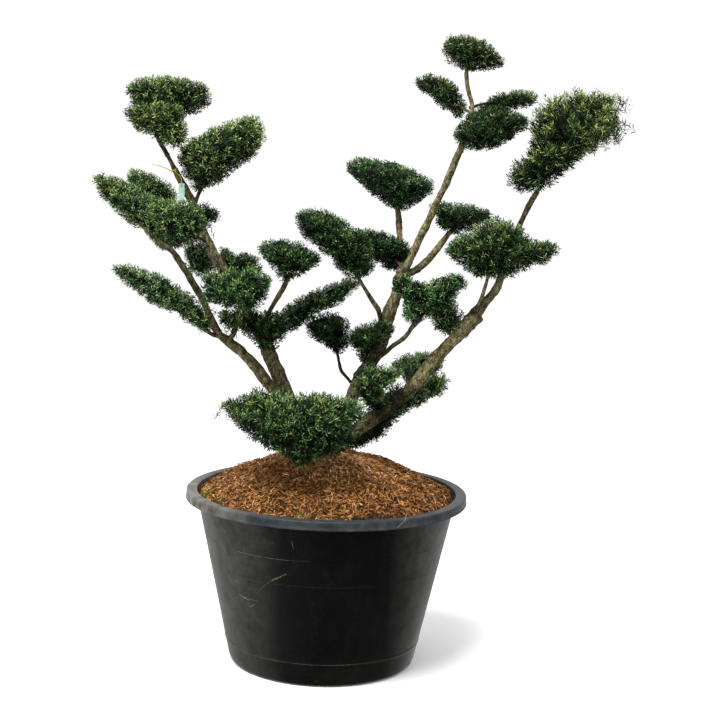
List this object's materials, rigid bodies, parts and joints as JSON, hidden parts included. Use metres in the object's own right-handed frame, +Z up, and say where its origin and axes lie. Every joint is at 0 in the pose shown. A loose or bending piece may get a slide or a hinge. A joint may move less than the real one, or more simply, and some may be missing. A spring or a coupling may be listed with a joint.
{
  "type": "cloud-pruned yew bonsai",
  "caption": "Cloud-pruned yew with layered clipped foliage pads on bare branching stems, growing in a round lipped container topped with a low heap of bark mulch.",
  "frame": {"origin": "centre of the container's flat underside, on the floor", "axes": "+Z up, -Y towards the front of the tree, +X towards the tall right-hand crown"},
  "size_m": [1.374, 0.763, 1.703],
  "materials": {
    "container_plastic": "satin",
    "growing_medium": "matte",
    "mulch": "matte",
    "bark": "matte",
    "foliage": "matte",
    "label_plastic": "satin",
    "tie_plastic": "satin"
  },
  "bodies": {
    "root": {"pot": "container_plastic", "growing_medium": "growing_medium", "mulch": "mulch", "stems": "bark", "plant_label": "label_plastic", "label_tie": "tie_plastic", "pad_left_crown_rear": "foliage", "pad_left_crown_front": "foliage", "pad_left_upper_inner": "foliage", "pad_left_outer": "foliage", "pad_left_outer_rear": "foliage", "pad_left_mid_front": "foliage", "pad_left_mid_rear": "foliage", "pad_left_inner_rear": "foliage", "pad_left_inner_upper": "foliage", "pad_left_inner_front": "foliage", "pad_left_inner_lower": "foliage", "pad_centre_long": "foliage", "pad_centre_low": "foliage", "pad_left_low_long": "foliage", "pad_centre_small": "foliage", "pad_centre_upper_front": "foliage", "pad_centre_upper_rear": "foliage", "pad_centre_high": "foliage", "pad_right_upper_rear": "foliage", "pad_right_upper_front": "foliage", "pad_right_mid_inner": "foliage", "pad_right_mid_outer": "foliage", "pad_right_mid_low": "foliage", "pad_centre_low_small": "foliage", "pad_right_stem_rear": "foliage", "pad_right_stem_front": "foliage", "pad_right_low_rear": "foliage", "pad_right_low_outer": "foliage", "pad_right_foot": "foliage", "pad_front_foot": "foliage", "pad_right_crown_top": "foliage", "pad_right_crown_left": "foliage", "pad_right_crown_rear": "foliage", "pad_right_crown_front": "foliage", "pad_right_outer_loose": "foliage"}
  },
  "joints": []
}
